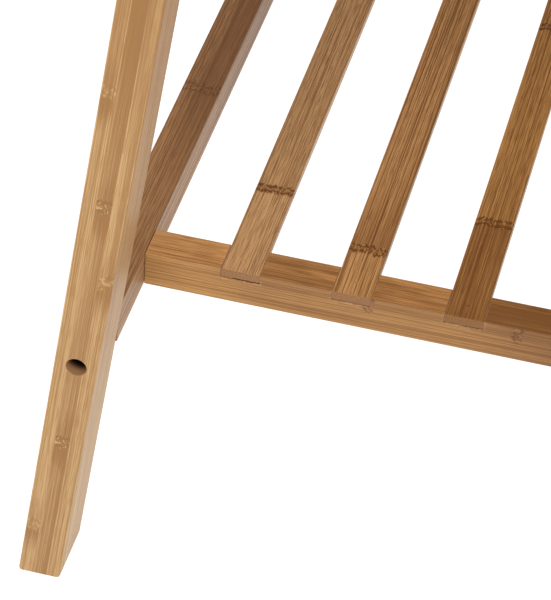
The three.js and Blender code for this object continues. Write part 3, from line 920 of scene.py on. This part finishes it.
def bar_bamboo():
    material, tree, paint, (x, y, z) = new_material("bar_bamboo")
    low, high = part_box("top_bar_right")
    inner_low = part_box("seat_batten_2")[0]
    width = high[0] - low[0]
    strips_wide, strips_deep, bars_to_a_metre = 2, 3, 9
    from_middle = calc(tree, "ABSOLUTE", x)
    is_batten = calc(tree, "LESS_THAN", from_middle, (inner_low[0] + high[0]) / 2)
    bar_low = calc(tree, "MULTIPLY_ADD", is_batten, inner_low[0] - low[0], low[0])
    across = calc(tree, "SUBTRACT", from_middle, bar_low)
    u = strips(tree, across, 0.0, width, strips_wide)
    v = strips(tree, z, low[2], high[2] - low[2], strips_deep)
    which = calc(tree, "ROUND", calc(tree, "MULTIPLY", x, bars_to_a_metre))
    chance, shift, seam = lay_strips(tree, u, v, which)
    palest, chance_tone = 0.1, 0.5
    tone = calc(tree, "MULTIPLY_ADD", chance, chance_tone, palest)
    spacing, reach, fade = 0.26, 0.0032, 8.0
    tone_past, tone_before = 0.15, 0.3
    place = (y, across, z)
    knots = calc(tree, "MULTIPLY", shift, spacing)
    marks = knot_marks(tree, place, knots, spacing, reach, fade)
    sides = (faces_along(tree, 0), faces_along(tree, 1), chance)
    wood = bamboo_finish(tree, paint, place, (tone, shift, seam),
                         (marks, tone_past, tone_before), sides, leg_look)
    tree.links.new(wood, paint.inputs["Base Color"])
    return material


dress(bar_bamboo(), "top_bar_", "seat_batten_")
dress(zinc_steel, "batten_screw_")

# ---- Seat slats: six long boards over the bars ----
# Each is three flat strips wide and two deep, planed, rounded along its edges and lacquered.

seat_look = dict(
    leg_look, streaks=0.4, lines=0.5, gleams=0.5, flecks=0.45, knots=0.75, seams=0.35,
    pale=(0.55, 0.325, 0.145, 1), deep=(0.35, 0.17, 0.06, 1),
    line=(0.31, 0.145, 0.04, 1), gleam=(0.64, 0.4, 0.17, 1), knot=(0.2, 0.085, 0.02, 1),
    speck=(0.6, 0.36, 0.15, 1))


def seat_slat_bamboo():
    material, tree, paint, (x, y, z) = new_material("seat_slat_bamboo")
    low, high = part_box("seat_slat_1")
    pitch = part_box("seat_slat_2")[0][1] - low[1]
    half_gap, strips_wide, strips_deep = 0.003, 3, 2
    number = calc(tree, "DIVIDE", calc(tree, "SUBTRACT", y, low[1] - half_gap), pitch)
    within = calc(tree, "MULTIPLY", calc(tree, "FRACT", number), pitch)
    within = calc(tree, "SUBTRACT", within, half_gap)
    u = strips(tree, within, 0.0, high[1] - low[1], strips_wide)
    v = strips(tree, z, low[2], high[2] - low[2], strips_deep)
    which = calc(tree, "FLOOR", number)
    chance, shift, seam = lay_strips(tree, u, v, which)
    palest, chance_tone = 0.05, 0.55
    tone = calc(tree, "MULTIPLY_ADD", chance, chance_tone, palest)

    shortest, chance_length, farthest_knot = 0.24, 0.06, 0.3
    reach, fade, tone_before = 0.0028, 25.0, 0.1
    palest_past, chance_past = -0.2, 0.5
    place = (x, y, z)
    spacing = calc(tree, "MULTIPLY_ADD", chance, chance_length, shortest)
    knots = calc(tree, "MULTIPLY", shift, farthest_knot)
    marks = knot_marks(tree, place, knots, spacing, reach, fade)
    tone_past = calc(tree, "MULTIPLY_ADD", shift, chance_past, palest_past)
    sides = (faces_along(tree, 1), faces_along(tree, 0), chance)
    wood = bamboo_finish(tree, paint, place, (tone, shift, seam),
                         (marks, tone_past, tone_before), sides, seat_look)
    tree.links.new(wood, paint.inputs["Base Color"])
    return material


dress(seat_slat_bamboo(), "seat_slat_")

# ---- Seat screws: pan head screws that hold the seat slats down ----
# They are zinc plated, with a cross recess in the head. Six go up from below through each
# bar, one into each slat.

pan_height = 0.0021


def cross_reach(angle):
    """How far the recess's outline is from its middle at an angle."""
    core, arm, arms = 0.0006, 0.0014, 4
    return core + arm * max(0.0, math.cos(arms * angle)) ** 2


def pan_head_screw():
    """A screw along +X from the face of its head."""
    recess, mouth, recess_depth, recess_wall = 0.00101, 0.00102, 0.0013, 0.0011
    head, shank, shank_end, tip = 0.004, 0.0017, 0.03, 0.033
    dome = [(0.0, 0.0025), (0.0003, 0.0034), (0.0009, 0.0039), (0.0014, head)]
    profile = [(recess_depth, 0.0), (recess_wall, recess), (0.0, mouth), *dome,
               (pan_height, head), (pan_height, shank), (shank_end, shank), (tip, 0.0)]
    mesh = turned(profile, steps=24)
    reshape_rings(mesh, recess, cross_reach)
    reshape_rings(mesh, mouth, cross_reach)
    shade_turned(mesh)
    return mesh


for bar in ("top_bar_left", "seat_batten_1", "seat_batten_2", "top_bar_right"):
    bar_low, bar_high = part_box(bar)
    under = bar_low[2] - pan_height
    screws = bmesh.new()
    for number in range(1, 7):
        slat_low, slat_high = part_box(f"seat_slat_{number}")
        screw = pan_head_screw()
        middle = ((bar_low[0] + bar_high[0]) / 2, (slat_low[1] + slat_high[1]) / 2, under)
        upright = Matrix.Rotation(-math.pi / 2, 4, "Y")
        bmesh.ops.transform(screw, matrix=Matrix.Translation(middle) @ upright,
                            verts=screw.verts)
        add_to(screws, screw)
    finished_piece(screws, "seat_screws_" + bar, zinc_steel)
